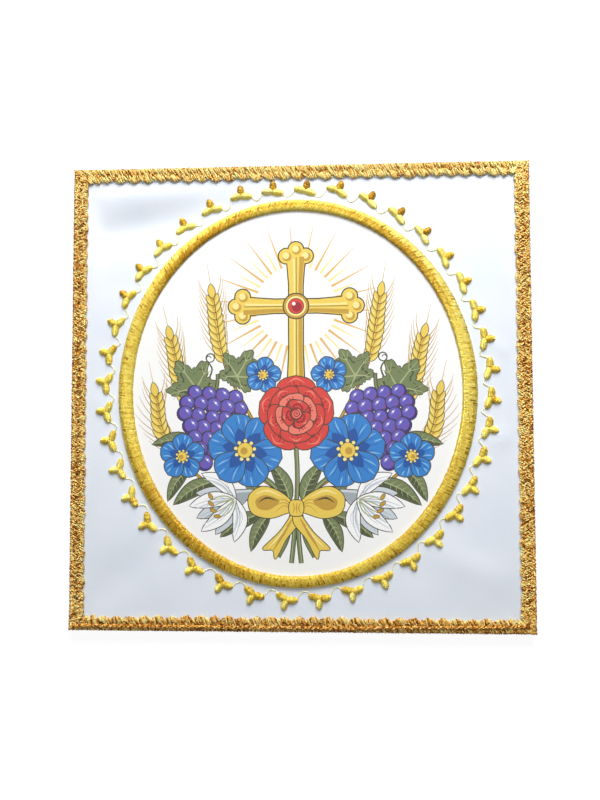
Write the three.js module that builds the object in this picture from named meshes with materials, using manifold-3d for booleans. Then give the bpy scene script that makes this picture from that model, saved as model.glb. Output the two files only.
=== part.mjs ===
// A chalice pall: a stiff flat square of white satin, edged with gold braid and worked with
// a raised oval ring of gold satin stitch that a wreath of small gold trefoils surrounds.
// Millimetres, +Z up. The underside lies on z = 0 and the origin is under the middle of the pall.
// +Y is the top of the pall as it is read, +X its right.

import * as THREE from "three";
import { mergeVertices } from "three/addons/utils/BufferGeometryUtils.js";
import Module from "manifold-3d";

// The pall
const PALL_WIDTH = 158; // outline of the braid, along X
const PALL_LENGTH = 160; // along Y
const PANEL_THICKNESS = 3;
const PANEL_INSET = 0.4; // the braid overhangs the panel's edge by this much
const EDGE_ROLL = 0.8; // how far the turned edge rounds in at the top and bottom
const PANEL_CELLS = 30; // squares of the panel's top along each side
const GAP = 0.3; // between two pieces that touch

// The braid
const BRAID_WIDTH = 5.5;
const SCALLOP_PITCH = 4.45;
const SCALLOP_DEPTH = 0.8;
const SCALLOP_STEPS = 4; // sections for each scallop

// The embroidery
const RING_CENTRE = new THREE.Vector2(-0.95, 1.4);
const RING_RADII = new THREE.Vector2(58.9, 64.5); // of the oval's middle line
const RING_WIDTHS = new THREE.Vector2(4.75, 3.75); // at its sides, and at its top and bottom
const RING_HEIGHT = 1.2;
const RING_STEPS = 96;
const WREATH_CENTRE = new THREE.Vector2(-1.05, 1.7);
const WREATH_RADII = new THREE.Vector2(66.0, 70.9); // where the trefoils' lobes meet
const TREFOIL_COUNT = 40;
const FIRST_TREFOIL = -2.7; // degrees, from +X
const TREFOIL_CROWDING = 2.7; // degrees by which the trefoils crowd towards the wreath's sides
const TREFOIL_LEAN = -15; // degrees, from straight outwards
const TREFOIL_HEIGHT = 0.9;
const TREFOIL_LOBES = [
  { turn: 0, length: 4.1, width: 2.6 },
  { turn: 108, length: 4.5, width: 2.6 },
  { turn: -108, length: 4.5, width: 2.6 },
];
const LOBE_SIDES = 8;

// Soft rises and dips of the satin, clear of the braid: the middle of each, the way it runs in
// degrees, its length and width, and its height, which is below zero for a dip.
const PUCKERS = [
  { x: -56, y: 59, turn: 10, length: 60, width: 13, height: -1.8 },
  { x: -58, y: 47, turn: 5, length: 44, width: 24, height: -0.3 },
  { x: -54, y: 71.5, turn: 4, length: 60, width: 7, height: 0.35 },
  { x: 46, y: 68, turn: 3, length: 40, width: 6, height: -0.3 },
  { x: 70, y: 15, turn: -28, length: 15, width: 5, height: 0.3 },
  { x: 70, y: -14, turn: 24, length: 18, width: 5, height: 0.3 },
  { x: -70, y: -3, turn: 12, length: 16, width: 5, height: 0.25 },
  { x: -62, y: -62, turn: 40, length: 34, width: 12, height: -0.35 },
  { x: 58, y: -58, turn: -20, length: 36, width: 11, height: 0.3 },
  { x: 6, y: -30, turn: 65, length: 60, width: 26, height: 0.25 },
];
const PUCKER_FADE = 5; // the satin lies flat at the braid and swells over this distance

const satin = new THREE.MeshStandardMaterial({ color: 0xf1f3f8, roughness: 0.5 });
const goldBraid = new THREE.MeshStandardMaterial({ color: 0xc79748, roughness: 0.4, metalness: 0.5 });
const goldThread = new THREE.MeshStandardMaterial({ color: 0xdcbd45, roughness: 0.35, metalness: 0.4 });

const wasm = await Module();
wasm.setup();

const { degToRad, smoothstep } = THREE.MathUtils;

// Height of the satin's face above the flat top at a point of the pall.
function satinRise(x, y) {
  const toBraid = Math.min(PALL_WIDTH / 2 - Math.abs(x), PALL_LENGTH / 2 - Math.abs(y)) - BRAID_WIDTH;
  let rise = 0;
  for (const pucker of PUCKERS) {
    const turn = degToRad(pucker.turn);
    const dx = x - pucker.x;
    const dy = y - pucker.y;
    const along = (dx * Math.cos(turn) + dy * Math.sin(turn)) / (pucker.length / 2);
    const across = (dy * Math.cos(turn) - dx * Math.sin(turn)) / (pucker.width / 2);
    rise += pucker.height * Math.exp(-along * along - across * across);
  }
  return rise * smoothstep(toBraid, 0, PUCKER_FADE);
}

function satinHeight(x, y) {
  return PANEL_THICKNESS + satinRise(x, y);
}

function geometryOf(points, triangles) {
  const geometry = new THREE.BufferGeometry().setFromPoints(points);
  geometry.setIndex(triangles);
  geometry.computeVertexNormals();
  return geometry;
}

// A solid that joins a row of like sections, each a loop of points that runs anticlockwise seen
// from ahead. The row closes on itself, or its two ends are capped.
function loft(sections, closed) {
  const size = sections[0].length;
  const triangles = [];
  const joins = closed ? sections.length : sections.length - 1;
  for (let i = 0; i < joins; i++) {
    const here = i * size;
    const next = ((i + 1) % sections.length) * size;
    for (let j = 0; j < size; j++) {
      const k = (j + 1) % size;
      triangles.push(here + j, here + k, next + k, here + j, next + k, next + j);
    }
  }
  if (!closed) {
    const last = (sections.length - 1) * size;
    for (let j = 1; j < size - 1; j++) {
      triangles.push(0, j + 1, j);
      triangles.push(last, last + j, last + j + 1);
    }
  }
  return geometryOf(sections.flat(), triangles);
}

// The satin panel: a grid for its face, a rounded turned edge and a flat underside.
function panelGeometry() {
  const halfWidth = PALL_WIDTH / 2 - PANEL_INSET;
  const halfLength = PALL_LENGTH / 2 - PANEL_INSET;
  const points = [];
  const triangles = [];
  const row = PANEL_CELLS + 1;
  for (let j = 0; j < row; j++) {
    for (let i = 0; i < row; i++) {
      const x = (halfWidth - EDGE_ROLL) * ((2 * i) / PANEL_CELLS - 1);
      const y = (halfLength - EDGE_ROLL) * ((2 * j) / PANEL_CELLS - 1);
      points.push(new THREE.Vector3(x, y, satinHeight(x, y)));
    }
  }
  for (let j = 0; j < PANEL_CELLS; j++) {
    for (let i = 0; i < PANEL_CELLS; i++) {
      const corner = j * row + i;
      triangles.push(corner, corner + 1, corner + row + 1, corner, corner + row + 1, corner + row);
    }
  }
  const rim = [];
  for (let i = 0; i < PANEL_CELLS; i++) rim.push(i);
  for (let j = 0; j < PANEL_CELLS; j++) rim.push(j * row + PANEL_CELLS);
  for (let i = PANEL_CELLS; i > 0; i--) rim.push(PANEL_CELLS * row + i);
  for (let j = PANEL_CELLS; j > 0; j--) rim.push(j * row);

  // The edge goes out to half the thickness and back in to the underside.
  const levels = [
    { reach: 1 + EDGE_ROLL / (halfWidth - EDGE_ROLL), z: PANEL_THICKNESS / 2 },
    { reach: 1, z: 0 },
  ];
  let above = rim;
  for (const level of levels) {
    const below = rim.map((index) => {
      const top = points[index];
      return points.push(new THREE.Vector3(top.x * level.reach, top.y * level.reach, level.z)) - 1;
    });
    for (let i = 0; i < rim.length; i++) {
      const k = (i + 1) % rim.length;
      triangles.push(above[k], above[i], below[i], above[k], below[i], below[k]);
    }
    above = below;
  }
  const outline = above.map((index) => new THREE.Vector2(points[index].x, points[index].y));
  for (const [a, b, c] of THREE.ShapeUtils.triangulateShape(outline, [])) {
    triangles.push(above[a], above[c], above[b]);
  }
  return geometryOf(points, triangles);
}

// A length of braid with its outer edge on the X axis, its inner edge scalloped and its two ends
// cut to a mitre: a flat outer row, a raised middle cord and an inner row of loops.
function braidGeometry(length) {
  const scallops = Math.round(length / SCALLOP_PITCH);
  const steps = scallops * SCALLOP_STEPS;
  const mitreGap = GAP / Math.SQRT2;
  const sections = [];
  for (let i = 0; i <= steps; i++) {
    const wave = Math.abs(Math.sin((Math.PI * i) / SCALLOP_STEPS));
    const inner = BRAID_WIDTH - SCALLOP_DEPTH * (1 - wave);
    const profile = [
      { in: 0, z: 0 },
      { in: inner, z: 0 },
      { in: inner - 1.2, z: 0.95 },
      { in: 3.1, z: 1.2 },
      { in: 2.2, z: 0.85 },
      { in: 0.4, z: 1.0 },
    ];
    const share = 0.5 - i / steps;
    sections.push(
      profile.map((point) => {
        const run = length - 2 * (point.in + mitreGap);
        return new THREE.Vector3(share * run, -point.in, point.z);
      }),
    );
  }
  return loft(sections, false);
}

// The oval ring of satin stitch: a low round section that follows the satin under it.
function ringGeometry() {
  const profile = [
    { out: -0.5, rise: 0 },
    { out: 0.5, rise: 0 },
    { out: 0.38, rise: 0.65 },
    { out: 0, rise: 1 },
    { out: -0.38, rise: 0.65 },
  ];
  const sections = [];
  for (let i = 0; i < RING_STEPS; i++) {
    const angle = (-2 * Math.PI * i) / RING_STEPS;
    const middle = new THREE.Vector2(RING_RADII.x * Math.cos(angle), RING_RADII.y * Math.sin(angle));
    const outwards = new THREE.Vector2(Math.cos(angle) / RING_RADII.x, Math.sin(angle) / RING_RADII.y);
    outwards.normalize();
    const width = RING_WIDTHS.x * Math.cos(angle) ** 2 + RING_WIDTHS.y * Math.sin(angle) ** 2;
    sections.push(
      profile.map((point) => {
        const place = middle.clone().addScaledVector(outwards, point.out * width);
        const under = satinHeight(place.x + RING_CENTRE.x, place.y + RING_CENTRE.y);
        return new THREE.Vector3(place.x, place.y, under + GAP + point.rise * RING_HEIGHT);
      }),
    );
  }
  return loft(sections, true);
}

// One lobe of a trefoil: a dome with a flat base, drawn out along +X from the origin.
function lobeGeometry({ turn, length, width }) {
  const dome = [
    new THREE.Vector2(0, 0),
    new THREE.Vector2(1, 0),
    new THREE.Vector2(0.78, 0.7),
    new THREE.Vector2(0, 1),
  ];
  return new THREE.LatheGeometry(dome, LOBE_SIDES)
    .rotateX(Math.PI / 2)
    .scale(length / 2, width / 2, TREFOIL_HEIGHT)
    .translate(length / 2 - width / 4, 0, 0)
    .rotateZ(degToRad(turn));
}

function solidOf(geometry) {
  geometry.deleteAttribute("normal");
  geometry.deleteAttribute("uv");
  const merged = mergeVertices(geometry, 1e-4);
  return new wasm.Manifold(
    new wasm.Mesh({
      numProp: 3,
      vertProperties: merged.attributes.position.array,
      triVerts: new Uint32Array(merged.index.array),
    }),
  );
}

// Three lobes joined where they meet.
function trefoilGeometry() {
  const joined = TREFOIL_LOBES.map((lobe) => solidOf(lobeGeometry(lobe))).reduce((a, b) => a.add(b));
  const { vertProperties, triVerts, numProp } = joined.getMesh();
  const geometry = new THREE.BufferGeometry();
  geometry.setAttribute("position", new THREE.BufferAttribute(vertProperties, numProp));
  geometry.setIndex(new THREE.BufferAttribute(triVerts, 1));
  geometry.computeVertexNormals();
  return geometry;
}

// The satin's highest point under a trefoil, so that the whole motif lies clear of it.
function restHeight(x, y) {
  const reach = TREFOIL_LOBES[1].length;
  let highest = satinHeight(x, y);
  for (let i = 0; i < LOBE_SIDES; i++) {
    const angle = (2 * Math.PI * i) / LOBE_SIDES;
    highest = Math.max(highest, satinHeight(x + reach * Math.cos(angle), y + reach * Math.sin(angle)));
  }
  return highest;
}

function addMesh(group, name, geometry, material) {
  const mesh = new THREE.Mesh(geometry, material);
  mesh.name = name;
  group.add(mesh);
  return mesh;
}

// The four lengths of braid, each turned to its side of the pall.
function makeBorder() {
  const border = new THREE.Group();
  border.position.z = PANEL_THICKNESS + GAP;
  const sides = [
    { name: "braid_top", length: PALL_WIDTH, x: 0, y: PALL_LENGTH / 2, turn: 0 },
    { name: "braid_right", length: PALL_LENGTH, x: PALL_WIDTH / 2, y: 0, turn: -90 },
    { name: "braid_bottom", length: PALL_WIDTH, x: 0, y: -PALL_LENGTH / 2, turn: 180 },
    { name: "braid_left", length: PALL_LENGTH, x: -PALL_WIDTH / 2, y: 0, turn: 90 },
  ];
  for (const side of sides) {
    const strip = addMesh(border, side.name, braidGeometry(side.length), goldBraid);
    strip.position.set(side.x, side.y, 0);
    strip.rotation.z = degToRad(side.turn);
  }
  return border;
}

// The wreath of trefoils round the ring. Those that would meet the braid at the top are worked
// a little closer to the ring.
function makeWreath() {
  const wreath = new THREE.Group();
  wreath.position.set(WREATH_CENTRE.x, WREATH_CENTRE.y, 0);
  const motif = trefoilGeometry();
  const highestTip = PALL_LENGTH / 2 - BRAID_WIDTH - GAP - WREATH_CENTRE.y;
  for (let i = 0; i < TREFOIL_COUNT; i++) {
    const even = degToRad(FIRST_TREFOIL) + (2 * Math.PI * i) / TREFOIL_COUNT;
    const angle = even - degToRad(TREFOIL_CROWDING) * Math.sin(2 * even);
    const outwards = Math.atan2(Math.sin(angle) / WREATH_RADII.y, Math.cos(angle) / WREATH_RADII.x);
    const turned = motif.clone().rotateZ(outwards + degToRad(TREFOIL_LEAN));
    turned.computeBoundingBox();
    const name = "trefoil_" + String(i + 1).padStart(2, "0");
    const trefoil = addMesh(wreath, name, turned, goldThread);
    const x = WREATH_RADII.x * Math.cos(angle);
    const y = Math.min(WREATH_RADII.y * Math.sin(angle), highestTip - turned.boundingBox.max.y);
    trefoil.position.set(x, y, restHeight(x + WREATH_CENTRE.x, y + WREATH_CENTRE.y) + GAP);
  }
  return wreath;
}

const pall = new THREE.Group();
addMesh(pall, "panel", panelGeometry(), satin);
pall.add(makeBorder());
const ring = addMesh(pall, "ring", ringGeometry(), goldThread);
ring.position.set(RING_CENTRE.x, RING_CENTRE.y, 0);
pall.add(makeWreath());

export default pall;
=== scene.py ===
# Dresses the chalice pall: white satin with a printed emblem, a ring and trefoils in gold satin
# stitch, and a gold braid of plaited yarn round the edge.
import math
import random

import bpy
import numpy as np
from mathutils import Matrix, Vector
from mathutils.geometry import delaunay_2d_cdt


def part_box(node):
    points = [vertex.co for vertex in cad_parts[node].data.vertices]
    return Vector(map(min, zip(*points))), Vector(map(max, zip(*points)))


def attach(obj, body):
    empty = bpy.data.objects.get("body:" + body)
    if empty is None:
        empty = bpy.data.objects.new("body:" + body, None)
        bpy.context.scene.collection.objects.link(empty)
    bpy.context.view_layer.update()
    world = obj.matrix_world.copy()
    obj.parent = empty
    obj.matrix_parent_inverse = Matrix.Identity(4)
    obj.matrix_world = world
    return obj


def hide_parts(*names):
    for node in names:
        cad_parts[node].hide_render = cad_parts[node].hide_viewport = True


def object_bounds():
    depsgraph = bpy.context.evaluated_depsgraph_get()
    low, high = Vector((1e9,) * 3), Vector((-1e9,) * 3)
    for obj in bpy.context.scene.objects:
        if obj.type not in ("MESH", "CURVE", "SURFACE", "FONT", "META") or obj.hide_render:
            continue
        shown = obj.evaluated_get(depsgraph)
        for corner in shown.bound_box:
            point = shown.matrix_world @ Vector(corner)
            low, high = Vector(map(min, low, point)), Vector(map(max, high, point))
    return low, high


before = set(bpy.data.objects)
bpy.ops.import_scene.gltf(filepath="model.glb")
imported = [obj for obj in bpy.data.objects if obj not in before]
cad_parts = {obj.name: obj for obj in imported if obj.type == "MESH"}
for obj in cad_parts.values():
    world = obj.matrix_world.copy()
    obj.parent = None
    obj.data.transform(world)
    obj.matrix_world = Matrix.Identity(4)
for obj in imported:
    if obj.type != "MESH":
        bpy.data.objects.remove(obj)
cad_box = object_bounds()

# Lengths are in millimetres in the frame's axes, and meshes are made in metres.
MM = 0.001


def box_mm(corners):
    return [np.array(corner) / MM for corner in corners]


# Sizes of the frame's pieces
pall_low, pall_high = box_mm(cad_box)
PALL_WIDTH, PALL_LENGTH = (pall_high - pall_low)[:2]
panel_low, panel_high = box_mm(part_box("panel"))
PANEL_HALF = (panel_high - panel_low)[:2] / 2
PANEL_THICKNESS = 3.0
ring_low, ring_high = box_mm(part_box("ring"))
RING_WIDTHS = np.array([4.75, 3.75])  # at its sides, and at its top and bottom
RING_CENTRE = ((ring_low + ring_high) / 2)[:2]
RING_RADII = ((ring_high - ring_low) / 2)[:2] - RING_WIDTHS / 2
BRAID_WIDTH = 5.7

# The satin panel
EDGE_ROLL = 0.8  # how far the turned edge rounds in
EDGE_STEPS = 6
HEM_WIDTH = 4.0  # rim of the underside, inside which it is level
SATIN_STEP = 2.0  # grid of the satin's face
PRINT_STEP = 4.0  # grid of the printed middle, which its lines make finer
PUCKER_FADE = 5.0  # the satin lies flat at the braid and swells over this distance

# Soft rises and dips of the satin: middle, the way each runs in degrees, length, width and height
PUCKERS = [
    dict(x=-56, y=59, turn=10, length=60, width=13, height=-1.8),
    dict(x=-58, y=47, turn=5, length=44, width=24, height=-0.3),
    dict(x=-54, y=71.5, turn=4, length=60, width=7, height=0.35),
    dict(x=46, y=68, turn=3, length=40, width=6, height=-0.3),
    dict(x=70, y=15, turn=-28, length=15, width=5, height=0.3),
    dict(x=70, y=-14, turn=24, length=18, width=5, height=0.3),
    dict(x=-70, y=-3, turn=12, length=16, width=5, height=0.25),
    dict(x=-62, y=-62, turn=40, length=34, width=12, height=-0.35),
    dict(x=58, y=-58, turn=-20, length=36, width=11, height=0.3),
    dict(x=6, y=-30, turn=65, length=60, width=26, height=0.25),
]

# The ring of satin stitch
RING_THREADS = 900
RING_RISE = 1.15
RING_SINK = 0.12  # how far under the satin its stitches begin
RING_SLANT = 1.0  # how far a stitch runs along the ring while it crosses half of it
RING_STEPS = 9
RING_STITCH = (0.23, 0.22)  # half the width and half the height of a stitch
RING_TONES = (0.46, 0.66)
RING_FLECKS = 0.2  # share of its stitches that have a darker fleck

# The wreath of trefoils, which stand as in the frame
WREATH_CENTRE = np.array([-1.05, 1.7])
WREATH_RADII = np.array([66.0, 70.9])  # where the lobes of each meet
TREFOIL_COUNT = 40
FIRST_TREFOIL = -2.7
TREFOIL_CROWDING = 2.7  # degrees by which the trefoils crowd towards the wreath's sides
TREFOIL_LEAN = -15
SIDE_LOBE_TURN = 108
TREFOIL_LOBES = [
    dict(turn=0, length=4.1, width=2.6),
    dict(turn=SIDE_LOBE_TURN, length=4.5, width=2.6),
    dict(turn=-SIDE_LOBE_TURN, length=4.5, width=2.6),
]
TREFOIL_OVER = 0.1  # how far a trefoil may reach past its node at the top
LOBE_RISE = 1.1
LOBE_SINK = 0.1
LOBE_INSET = 0.1  # from the edge of a lobe to the ends of its stitches
LOBE_PITCH = 0.34  # from one stitch to the next
LOBE_STEPS = 7
LOBE_STITCH = (0.22, 0.16)
LOBE_TONES = (0.5, 0.74)

# The thread from one trefoil to the next
LINK_START = 0.3  # from the tip of a lobe
LINK_LENGTH = 0.95  # of a stitch
LINK_STEPS = 6
LINK_RISE, LINK_SINK = 0.16, 0.03
LINK_STITCH = (0.18, 0.15)
LINK_TONES = (0.85, 1.4)

# The braid
SCALLOP_PITCH = 4.75
SCALLOP_PINCH = 0.1  # how far the yarns of a scallop gather to its middle, as a share of the pitch
VALLEY_DEPTH = 2.6  # of the line between the braid's two rows, from the outer edge
VALLEY_UNEVEN = 0.8  # how far a yarn may turn short of that line or past it
ROW_STRANDS = 4  # yarns that swing to and fro in each row
SWING_PITCH = 2.3  # from one swing to the next
ROW_STEPS = 14  # along a yarn in each swing
STRAND_WIDTH = 0.5
CORNER_FAN = 10.0  # how far from a corner the yarns begin to fan towards its mitre

rng = random.Random(41)


def satin_rise(x, y):
    """Height of the satin over its flat face; x and y may be arrays."""
    to_braid = np.minimum(PALL_WIDTH / 2 - np.abs(x), PALL_LENGTH / 2 - np.abs(y)) - BRAID_WIDTH
    fade = np.clip(to_braid / PUCKER_FADE, 0, 1)
    fade = fade * fade * (3 - 2 * fade)
    rise = 0
    for pucker in PUCKERS:
        turn = math.radians(pucker["turn"])
        dx, dy = x - pucker["x"], y - pucker["y"]
        along = (dx * math.cos(turn) + dy * math.sin(turn)) / (pucker["length"] / 2)
        across = (dy * math.cos(turn) - dx * math.sin(turn)) / (pucker["width"] / 2)
        rise = rise + pucker["height"] * np.exp(-along * along - across * across)
    return rise * fade


def on_satin(plan, rise):
    """Points over a plan, rise above the satin."""
    return np.column_stack([plan, PANEL_THICKNESS + satin_rise(*plan.T) + rise])


def add_piece(name, points, faces, material, nodes=()):
    """A mesh in the pall's own frame that stands for CAD nodes."""
    mesh = bpy.data.meshes.new(name)
    mesh.from_pydata([tuple(p) for p in np.asarray(points) * MM], [], faces)
    mesh.materials.append(material)
    mesh.shade_smooth()
    piece = bpy.data.objects.new(name, mesh)
    bpy.context.collection.objects.link(piece)
    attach(piece, "root")
    if nodes:
        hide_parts(*nodes)
    return piece


def run_along(path):
    """Distance along a path to each of its points."""
    return np.concatenate([[0], np.cumsum(np.linalg.norm(np.diff(path, axis=0), axis=1))])


class Threads:
    """Gathers many threads into the arrays of one mesh. Each thread is a closed tube."""

    def __init__(self, sides):
        self.sides = sides
        self.points, self.faces, self.tones, self.maps = [], [], [], []
        self.count = 0

    def add(self, path, half_width, half_height, tone):
        """path is the middle line. half_width lies level, half_height stands up, and tone is the
        thread's shade from 0 to 1, its own colour with any painted light and shade, or one for each step
        of the path."""
        path = np.asarray(path, float)
        steps, sides = len(path), self.sides
        along = np.gradient(path, axis=0)
        along /= np.linalg.norm(along, axis=1)[:, None]
        beside = np.cross(along, (0, 0, 1))
        beside /= np.linalg.norm(beside, axis=1)[:, None]
        upwards = np.cross(beside, along)
        angles = 2 * np.pi * np.arange(sides) / sides
        wide = np.broadcast_to(half_width, steps)[:, None, None] * np.cos(angles)[None, :, None]
        high = np.broadcast_to(half_height, steps)[:, None, None] * np.sin(angles)[None, :, None]
        tube = path[:, None] + beside[:, None] * wide + upwards[:, None] * high
        self.points.append(tube.reshape(-1, 3))
        run = run_along(path)
        tones = np.broadcast_to(tone, steps)
        for i in range(steps - 1):
            here = self.count + i * sides
            for j in range(sides):
                k = (j + 1) % sides
                self.faces.append((here + j, here + k, here + sides + k, here + sides + j))
                self.maps += [(run[i], j / sides), (run[i], (j + 1) / sides),
                              (run[i + 1], (j + 1) / sides), (run[i + 1], j / sides)]
                self.tones.append(tones[i])
        last = self.count + (steps - 1) * sides
        self.faces.append(tuple(self.count + j for j in reversed(range(sides))))
        self.faces.append(tuple(last + j for j in range(sides)))
        self.maps += [(0, 0)] * sides + [(run[-1], 0)] * sides
        self.tones += [tones[0], tones[-1]]
        self.count += steps * sides

    def piece(self, name, material, slot, nodes=()):
        made = add_piece(name, np.concatenate(self.points), self.faces, material, nodes)
        tone = made.data.attributes.new("tone", "FLOAT", "FACE")
        tone.data.foreach_set("value", np.array(self.tones, np.float32))
        layer = made.data.uv_layers.new(name="thread")
        layer.uv.foreach_set("vector", np.array(self.maps, np.float32).ravel())
        return made


# The printed emblem: a budded cross over flowers, wheat and grapes, drawn as flat loops of ink
# in millimetres about the middle of the ring, each laid over those before it.

INKS = dict(
    ground=(248, 248, 247),
    line=(72, 64, 44),
    blue=(52, 132, 208), blue_deep=(28, 86, 164), blue_pale=(128, 188, 234),
    violet=(104, 92, 186), violet_deep=(62, 50, 128), violet_pale=(166, 156, 224), plum=(150, 74, 152),
    yellow=(238, 206, 88), ochre=(200, 158, 58), straw=(248, 230, 150), tan=(230, 184, 104),
    red=(222, 66, 58), red_deep=(164, 34, 42), rose=(240, 126, 108),
    white=(250, 250, 250), pale_grey=(208, 216, 222), grey=(164, 174, 178),
    leaf=(120, 134, 88), leaf_deep=(80, 90, 58), leaf_pale=(172, 180, 132),
)
LINE = 0.32  # half of the ink line that shows round a shape

draw = random.Random(7)


def turned(points, degrees):
    turn = math.radians(degrees)
    points = np.asarray(points, float)
    return points @ np.array([[math.cos(turn), math.sin(turn)], [-math.sin(turn), math.cos(turn)]])


def placed(shapes, x=0, y=0, turn=0, size=1):
    return [(turned(loop, turn) * size + (x, y), ink) for loop, ink in shapes]


def both_sides(shapes):
    """Shapes and their mirror image."""
    return [(loop[::-1] * (-1, 1), ink) for loop, ink in shapes] + shapes


def curve(points, closed=False, steps=6):
    """A smooth line through points."""
    points = np.asarray(points, float)
    if closed:
        before, here = np.roll(points, 1, 0), points
        after, beyond = np.roll(points, -1, 0), np.roll(points, -2, 0)
    else:
        long = np.vstack([2 * points[0] - points[1], points, 2 * points[-1] - points[-2]])
        before, here, after, beyond = long[:-3], long[1:-2], long[2:-1], long[3:]
    t = (np.arange(steps) / steps)[None, :, None]
    a, b, c, d = [p[:, None] for p in (before, here, after, beyond)]
    line = b + 0.5 * t * ((c - a) + t * ((2 * a - 5 * b + 4 * c - d) + t * (3 * (b - c) + d - a)))
    line = line.reshape(-1, 2)
    return line if closed else np.vstack([line, points[-1]])


def normals(line, closed):
    if closed:
        along = np.roll(line, -1, 0) - np.roll(line, 1, 0)
    else:
        along = np.gradient(line, axis=0)
    along = along / np.maximum(np.linalg.norm(along, axis=1), 1e-9)[:, None]
    return np.column_stack([along[:, 1], -along[:, 0]])


def stroke(line, start, end=None, middle=None):
    """A brush line whose width goes from start to end, by way of middle."""
    line = np.asarray(line, float)
    share = np.linspace(0, 1, len(line))
    end = start if end is None else end
    middle = (start + end) / 2 if middle is None else middle
    half = np.interp(share, [0, 0.5, 1], [start, middle, end])[:, None] / 2
    out = normals(line, False)
    return np.vstack([line + out * half, (line - out * half)[::-1]])


def brush(shapes, ink, line, *widths):
    """Adds a brush line to shapes."""
    shapes.append((stroke(line, *widths), ink))


def area(loop):
    x, y = loop[:, 0], loop[:, 1]
    return 0.5 * np.sum(x * np.roll(y, -1) - np.roll(x, -1) * y)


def grown(loop, by):
    out = normals(loop, True) * (1 if area(loop) > 0 else -1)
    return loop + out * by


def outlined(loop, ink, line=LINE):
    return [(grown(loop, line), "line"), (loop, ink)]


def circle(radius, x=0, y=0, points=16):
    angle = 2 * np.pi * np.arange(points) / points
    return np.column_stack([x + radius * np.cos(angle), y + radius * np.sin(angle)])


def blade_half(share, width, fullest, blunt):
    """Half the width of a leaf or petal at a share of its length."""
    return width / 2 * np.sin(np.pi * share ** (math.log(0.5) / math.log(fullest))).clip(0) ** blunt


def blade(length, width, fullest=0.5, blunt=0.8, points=9, bow=0.0):
    """A leaf or petal from the origin along +X, widest at the share fullest of its length."""
    share = np.linspace(0, 1, points)
    half = blade_half(share, width, fullest, blunt)
    middle = bow * np.sin(np.pi * share)
    upper = np.column_stack([length * share, middle + half])
    lower = np.column_stack([length * share, middle - half])
    return np.vstack([lower, upper[-2:0:-1]])


def ray(length, angle, start=0.0, bend=0.0, points=6):
    share = np.linspace(0, 1, points)
    line = np.column_stack([start + (length - start) * share, bend * np.sin(np.pi * share)])
    return turned(line, angle)


def round_middle(petal, count, turn=0):
    """A petal repeated round the origin."""
    shapes = []
    for k in range(count):
        shapes += placed(petal, turn=turn + 360 * k / count)
    return shapes


def flower(petals, radius):
    petal = outlined(blade(radius, radius * 0.86, 0.64, 0.62, 13), "blue")
    petal.append((blade(radius * 0.62, radius * 0.36, 0.45, 0.8), "blue_deep"))
    for angle, reach in ((0, 0.84), (13, 0.78), (-13, 0.78), (24, 0.62), (-24, 0.62)):
        vein = ray(radius * reach, angle, radius * 0.2, 0.1 * angle / 13)
        brush(petal, "blue_deep", vein, 0.34, 0.1)
    for angle in (19, -19):
        gleam = ray(radius * 0.86, angle, radius * 0.5, 0.2)
        brush(petal, "blue_pale", gleam, 0.15, 0.15, 0.55)
    brush(petal, "blue_pale", ray(radius * 0.94, 6, radius * 0.72), 0.2, 0.2, 0.6)
    shapes = round_middle(petal, petals) + outlined(circle(radius * 0.2), "yellow")
    for k in range(9):
        spot = turned([(radius * 0.25, 0)], 40 * k)[0]
        shapes += outlined(circle(radius * 0.05, *spot, 8), "straw", 0.16)
    shapes.append((circle(radius * 0.1, 0.3, -0.3, 10), "ochre"))
    return shapes


ROSE_LAYERS = [
    dict(count=5, reach=1.0, wide=1.0, turn=90, ink="red"),
    dict(count=5, reach=0.76, wide=0.82, turn=54, ink="red"),
    dict(count=4, reach=0.54, wide=0.66, turn=20, ink="rose"),
    dict(count=3, reach=0.36, wide=0.5, turn=75, ink="red"),
]


def rose_petal(long, wide, ink):
    petal = outlined(blade(long, wide, 0.68, 0.52, 15), ink)
    petal.append((blade(long * 0.78, wide * 0.62, 0.6, 0.7), "red_deep"))
    petal.append((blade(long * 0.66, wide * 0.42, 0.6, 0.7), "red"))
    rim_end = turned([(long * 0.84, 0)], 16)[0]
    rim = curve([rim_end * (1, -1), (long * 0.93, 0), rim_end])
    brush(petal, "rose", rim, 0.12, 0.12, 0.6)
    for angle in (-9, 4, 12):
        brush(petal, "red_deep", ray(long * 0.86, angle, long * 0.56), 0.12, 0.3)
    return petal


def rose(radius=12.0):
    shapes = []
    for layer in ROSE_LAYERS:
        petal = rose_petal(radius * layer["reach"], radius * layer["wide"], layer["ink"])
        shapes += round_middle(petal, layer["count"], layer["turn"])
    shapes += outlined(circle(radius * 0.15), "red_deep")
    turns = np.linspace(0, 2.2 * 2 * np.pi, 26)
    reach = radius * 0.13 * turns / turns[-1]
    spiral = np.column_stack([np.cos(turns), np.sin(turns)]) * reach[:, None]
    brush(shapes, "rose", spiral, 0.3, 0.42)
    return shapes


def grape(radius):
    shapes = outlined(circle(radius), "violet_deep", 0.26)
    shapes.append((circle(radius * 0.86, -radius * 0.1, radius * 0.12, 14), "violet"))
    glow = curve([(-0.62, 0.1), (-0.45, 0.52), (0.05, 0.68), (-0.22, 0.3)], True, 4) * radius
    shapes.append((glow, "violet_pale"))
    shapes.append((circle(radius * 0.13, -radius * 0.3, radius * 0.42, 7), "white"))
    blush = curve([(0.1, -0.66), (0.55, -0.36), (0.6, 0.08), (0.36, -0.34)], True, 4) * radius
    shapes.append((blush, "plum"))
    return shapes


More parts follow.
